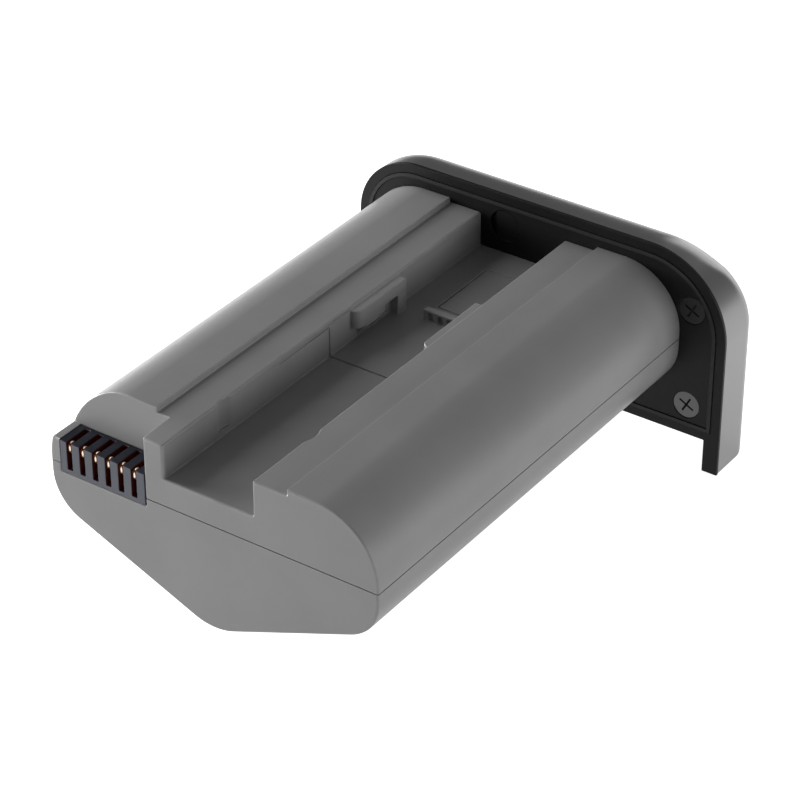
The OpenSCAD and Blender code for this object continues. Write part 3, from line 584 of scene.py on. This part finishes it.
def wide(low, high):
    """A box without end where a bound is None."""
    far = 1.0
    return ([-far if v is None else v for v in low], [far if v is None else v for v in high])


def rule(radius, low=(None, None, None), high=(None, None, None)):
    """A radius for the edges in a box, for soften."""
    box_low, box_high = wide(low, high)
    return box_low, box_high, radius


# The rear end and the parting line stay sharp, and what no rule holds gets the node's own round
case_rules = [
    rule(0, low=(None, seat - HAIR, None)),
    rule(0, high=(None, None, PART_LINE + HAIR)),
    rule(HAIR_ROUND, low=(block_low.x - BLOCK_ROOM, None, None),
         high=(block_high.x + BLOCK_ROOM, block_high.y + BLOCK_ROOM, block_high.z + BLOCK_ROOM)),
    rule(LEDGE_ROUND, low=(-CHANNEL_HALF - HAIR, None, WALL_FOOT),
         high=(-CHANNEL_HALF + HAIR, front + HAIR, LEDGE_TOP)),
    rule(FRONT_ROUND, high=(None, front + HAIR, None)),
    rule(LEDGE_ROUND, low=(-CHANNEL_HALF - HAIR, None, LEDGE_TOP - HAIR),
         high=(0, None, LEDGE_TOP + HAIR)),
    rule(HAIR_ROUND, low=(CHANNEL_HALF + FINE_SIDE, front + FINE_BACK, WALL_FOOT)),
]
keel_rules = [
    rule(0, low=(None, seat - HAIR, None)),
    rule(0, low=(None, None, -PART_LINE - HAIR)),
    rule(FRONT_ROUND, high=(None, front + HAIR, None)),
]
plate_rules = [
    rule(0, low=(None, PLATE_BACK, None)),
]
shell_rules = [
    rule(SMALL_ROUND, low=(None, RIM_BACK, None), high=(None, None, UNDERSIDE)),
    rule(SMALL_ROUND, low=(knob_low.x - MM, WELL_RIM, knob_low.z - MM),
         high=(knob_high.x + MM, None, knob_high.z + MM)),
]


# The cover's smooth skin

def outer_round(turn, corner):
    """Radius of the cover's outer round where the outline of a corner has turned from the top by an angle."""
    share = turn / (math.pi / 2)
    eased = TOP_ROUND + (SIDE_ROUND - TOP_ROUND) * share * share * (3 - 2 * share)
    level = corner - (corner - TOP_ROUND) / max(math.cos(turn), LEAST_COSINE)
    return max(eased, level)


def cover_outline_points():
    """Points of the cover's outline from its lower left over the top to its lower right, each with the way
    into the cover and the radius of the outer round there."""
    left, right = cover_low.x + SKIN_DEPTH, cover_high.x - SKIN_DEPTH
    top, foot = cover_high.z - SKIN_DEPTH, cover_low.z + SKIN_DEPTH
    corners = ((-1, LEFT_CORNER, left + LEFT_CORNER), (1, RIGHT_CORNER, right - RIGHT_CORNER))
    points = [((left, foot), (1, 1), SIDE_ROUND)]
    for side, radius, x in corners:
        for i in range(CORNER_STEPS + 1):
            turn = math.pi / 2 * (i if side > 0 else CORNER_STEPS - i) / CORNER_STEPS
            way = (side * math.sin(turn), math.cos(turn))
            place = (x + radius * way[0], top - radius + radius * way[1])
            points.append((place, (-way[0], -way[1]), outer_round(turn, radius)))
    points.append(((right, foot), (-1, 1), SIDE_ROUND))
    return points


def cover_envelope():
    """A closed body with the cover's outside, whose outer round changes smoothly at the corners."""
    back = cover_high.y - SKIN_DEPTH
    outline = cover_outline_points()
    shape = bmesh.new()
    loops = [[shape.verts.new((x, cover_low.y - SKIN_AHEAD, z)) for (x, z), _, _ in outline]]
    for k in range(SKIN_RINGS + 1):
        slope = math.pi / 2 * k / SKIN_RINGS
        inward, rise = 1 - math.cos(slope), math.sin(slope)
        loops.append([shape.verts.new((x + way[0] * r * inward, back - r + r * rise, z + way[1] * r * inward))
                      for (x, z), way, r in outline])
    close_rings(shape, loops)
    return mesh_of(shape, "cover_envelope")


def corner_fills():
    """Two blocks in the cover's upper corners, where the envelope lies deeper than the shell's wall."""
    shape = bmesh.new()
    depth = (FILL_FRONT, cover_high.y - 2 * SKIN_DEPTH)
    top = cover_high.z - 2 * SKIN_DEPTH
    for side in (cover_low.x + 2 * SKIN_DEPTH, cover_high.x - FILL_REACH - 2 * SKIN_DEPTH):
        place = Vector((side + FILL_REACH / 2, sum(depth) / 2, top - FILL_REACH / 2))
        size = Matrix.Diagonal((FILL_REACH, depth[1] - depth[0], FILL_REACH, 1))
        bmesh.ops.create_cube(shape, size=1, matrix=Matrix.Translation(place) @ size)
    return mesh_of(shape, "corner_fills")


def trimmed_shell():
    """The cover's shell with its upper corners filled, cut by the smooth envelope."""
    piece = new_object("shell_blank", clean_copy("cover_shell"))
    fills = new_object("shell_fills", corner_fills())
    cutter = new_object("shell_cutter", cover_envelope())
    for operation, tool in (("UNION", fills), ("INTERSECT", cutter)):
        cut = piece.modifiers.new("smooth outside", "BOOLEAN")
        cut.operation = operation
        cut.solver = "EXACT"
        cut.object = tool
        bake_modifiers(piece)
    mesh = joined_faces(piece.data)
    for each in (piece, fills, cutter):
        bpy.data.objects.remove(each)
    return mesh


# Contacts and their block

def gilt_dome(node):
    """The gilded crown pressed out of a contact's nose: a dome that is round across and long upward."""
    low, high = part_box(node)
    middle = Vector(((low.x + high.x) / 2, low.y + CROWN_DEPTH - CROWN_PROUD,
                     high.z - CROWN_HALF + CROWN_LIFT))
    shape = bmesh.new()
    rings = []
    for k in range(1, CROWN_RINGS):
        rise = math.pi * (k / CROWN_RINGS - 0.5)
        rings.append([shape.verts.new(middle + Vector((
            CROWN_WIDTH * math.cos(rise) * math.sin(math.tau * i / CROWN_SIDES),
            CROWN_DEPTH * math.cos(rise) * math.cos(math.tau * i / CROWN_SIDES),
            CROWN_HALF * math.sin(rise)))) for i in range(CROWN_SIDES)])
    close_rings(shape, rings)
    mesh = mesh_of(shape, node + "_crown")
    mesh.shade_smooth()
    mesh.materials.append(contact_gold)
    stand_for(new_object(node + "_crown", mesh), node)


def finish_faces(piece, finish, test):
    """Gives a second material to the faces whose middle and normal pass the test; on the block it is painted
    shade.
    """
    mesh = piece.data
    mesh.materials.append(finish)
    for face in mesh.polygons:
        if test(face.center, face.normal):
            face.material_index = len(mesh.materials) - 1


def on_top(middle, normal):
    """True for a face that looks up; on the contact block these faces get painted shade."""
    return normal.z > TOP_NORMAL


def in_slot(middle, normal):
    """True well inside the block, where only its slots' walls are."""
    between = all(low + SLOT_EDGE < value < high - SLOT_EDGE
                  for low, value, high in zip(block_low.xz, middle.xz, block_high.xz))
    return between and middle.y > block_low.y + SLOT_LIP


# Cover screws

def separate_solids(shape):
    """Lists of vertices, one for each solid of a mesh."""
    left = set(shape.verts)
    while left:
        found, queue = set(), [left.pop()]
        while queue:
            vert = queue.pop()
            found.add(vert)
            near = [edge.other_vert(vert) for edge in vert.link_edges]
            queue.extend(v for v in near if v in left)
            left.difference_update(near)
        yield list(found)


def refine_head(verts):
    """Makes a screw's recess shallow and its arms thin, and turns the screw about its axis."""
    face = min(v.co.y for v in verts)
    axis = Vector([(min(v.co[k] for v in verts) + max(v.co[k] for v in verts)) / 2 for k in range(3)])
    turn = Matrix.Rotation(SCREW_TURN, 3, "Y")
    for vert in verts:
        place = vert.co - axis
        depth = vert.co.y - face
        if depth < RECESS_DEEPEST and Vector((place.x, place.z)).length < RECESS_REACH:
            for k in (0, 2):
                if abs(place[k]) < RECESS_ARM:
                    place[k] *= RECESS_THIN
            if depth > RECESS_FLOOR:
                place.y = face + RECESS_DEPTH - axis.y
        vert.co = axis + turn @ place


def drop_stale_normals(mesh):
    """Removes the normals that came with the CAD's mesh, which no longer fit its faces."""
    stale = mesh.attributes.get("custom_normal")
    if stale:
        mesh.attributes.remove(stale)


def screws(node, keep, name, finish, recess):
    """A piece made of the screws of a node that pass the test keep, with a fine recess in each head whose
    walls and floor get painted shade.
    """
    shape = bmesh.new()
    shape.from_mesh(nodes[node].data)
    bmesh.ops.remove_doubles(shape, verts=shape.verts, dist=WELD)
    bmesh.ops.delete(shape, geom=[v for v in shape.verts if not keep(v.co)], context="VERTS")
    for verts in separate_solids(shape):
        refine_head(verts)
    face = min(v.co.y for v in shape.verts)
    for each in shape.faces:
        middle = each.calc_center_median().y
        # Painted shade on the walls and floor of each cross recess
        each.material_index = int(face + HAIR / 2 < middle < face + RECESS_DARK * RECESS_DEPTH)
    mesh = mesh_of(shape, name)
    drop_stale_normals(mesh)
    smooth_but_sharp(mesh)
    mesh.materials.append(finish)
    mesh.materials.append(recess)
    stand_for(new_object(name, mesh), node)


# The pieces

def build_pieces():
    """The visible pieces in the place of CAD nodes, and finishes on the nodes that stay."""
    soften("upper_case", SMALL_ROUND, case_rules)
    soften("lower_case", SMALL_ROUND, keel_rules)
    block = soften("contact_block", HAIR_ROUND)
    soften("cover_plate", HAIR_ROUND, plate_rules)
    soften("cover_shell", 0, shell_rules, mesh=trimmed_shell())
    soften("lock_knob", SMALL_ROUND)
    soften("handle", SMALL_ROUND)
    for name in nodes:
        if SLOT_OF.get(name) == "contacts":
            soften(name, 0)
            gilt_dome(name)
    # Painted shade on the block's top faces and on its slots' walls
    finish_faces(block, block_top_shade, on_top)
    finish_faces(block, slot_shade, in_slot)
    for name in nodes:
        if not nodes[name].hide_render:
            finish_node(name)
    screws("cover_screws", lambda p: p.z < 0, "cover_screws_low", screw_steel, recess_shade_black)
    # The upper screw gets the painted-shade copy of the screw steel
    screws("cover_screws", lambda p: p.z > 0, "cover_screw_top", screw_steel_shaded, recess_shade_dim)


build_pieces()


# Stage, light and camera

def plain_floor():
    """A pale floor below the part that glows only for the camera and, more faintly, in reflections."""
    mesh = bpy.data.meshes.new("floor")
    turns = ((-1, -1), (1, -1), (1, 1), (-1, 1))
    corners = [(x * FLOOR_REACH, y * FLOOR_REACH, cad_low.z) for x, y in turns]
    mesh.from_pydata(corners, [], [(0, 1, 2, 3)])
    floor = new_object("floor", mesh)
    pale = bpy.data.materials.new("pale_floor")
    pale.use_nodes = True
    tree = pale.node_tree
    shader = tree.nodes["Principled BSDF"]
    shader.inputs["Base Color"].default_value = FLOOR_SHADE
    shader.inputs["Roughness"].default_value = FLOOR_ROUGH
    shader.inputs["Emission Color"].default_value = (1, 1, 1, 1)
    ray = tree.nodes.new("ShaderNodeLightPath").outputs
    glow = arithmetic(tree, "ADD", arithmetic(tree, "MULTIPLY", ray["Is Camera Ray"], FLOOR_GLOW),
                      arithmetic(tree, "MULTIPLY", ray["Is Glossy Ray"], MIRRORED_GLOW))
    tree.links.new(glow, shader.inputs["Emission Strength"])
    mesh.materials.append(pale)


def soft_box(name, bearing, height, power, size=BOX):
    """An area light that faces the case. Bearing and height are in degrees, and the bearing runs from the
    contact end to the right."""
    light = bpy.data.lights.new(name, "AREA")
    light.shape = "RECTANGLE"
    light.size, light.size_y = size
    light.energy = power
    lamp = new_object(name, light)
    turn, rise = math.radians(bearing), math.radians(height)
    away = Vector((math.sin(turn) * math.cos(rise), -math.cos(turn) * math.cos(rise), math.sin(rise)))
    lamp.location = LIGHT_AIM + LIGHT_DISTANCE * away
    lamp.rotation_mode = "QUATERNION"
    lamp.rotation_quaternion = (-away).to_track_quat("-Z", "Y")


def studio_room():
    """A room that is white for the camera and dim for the part."""
    world = bpy.data.worlds.new("studio")
    bpy.context.scene.world = world
    world.use_nodes = True
    tree = world.node_tree
    glow = tree.nodes["Background"]
    glow.inputs["Color"].default_value = (1, 1, 1, 1)
    seen = tree.nodes.new("ShaderNodeLightPath").outputs["Is Camera Ray"]
    tree.links.new(ramp(tree, seen, 0, 1, ROOM_GLOW, ROOM_SEEN), glow.inputs["Strength"])


def photo_camera():
    """The camera at the photograph's place, found by fitting points of the case and the cover."""
    azimuth, elevation = math.radians(34.83), math.radians(33.0)
    distance, aside, above = 444.16 * MM, 2.416 * MM, -1.504 * MM
    aim = Vector((0, -37.7 * MM, 0))
    back = Vector((math.sin(azimuth) * math.cos(elevation), -math.cos(azimuth) * math.cos(elevation),
                   math.sin(elevation)))
    right = Vector((math.cos(azimuth), math.sin(azimuth), 0))
    up = back.cross(right)
    data = bpy.data.cameras.new("camera")
    data.sensor_width = 36
    data.lens = 134.03
    data.clip_start = 0.01
    data.clip_end = 20
    camera = new_object("camera", data)
    turn = Matrix((right, up, back)).transposed().to_4x4()
    camera.matrix_world = Matrix.Translation(aim + right * aside + up * above + back * distance) @ turn
    bpy.context.scene.camera = camera


plain_floor()

# Each light with its bearing and height, and its power in watts
soft_box("left_box", -90, 12, 2.4)
soft_box("left_high_box", -90, 35, 1.5)
soft_box("left_strip", -90, 5, 2.6, STRIP)
soft_box("right_box", 105, 7, 1.7)
soft_box("right_strip", 85, 5, 0.3, STRIP)
soft_box("front_strip", -30, 5, 1.05, STRIP)
soft_box("back_box", 180, 12, 0.5)

studio_room()
bpy.context.scene.view_settings.view_transform = "Standard"
photo_camera()
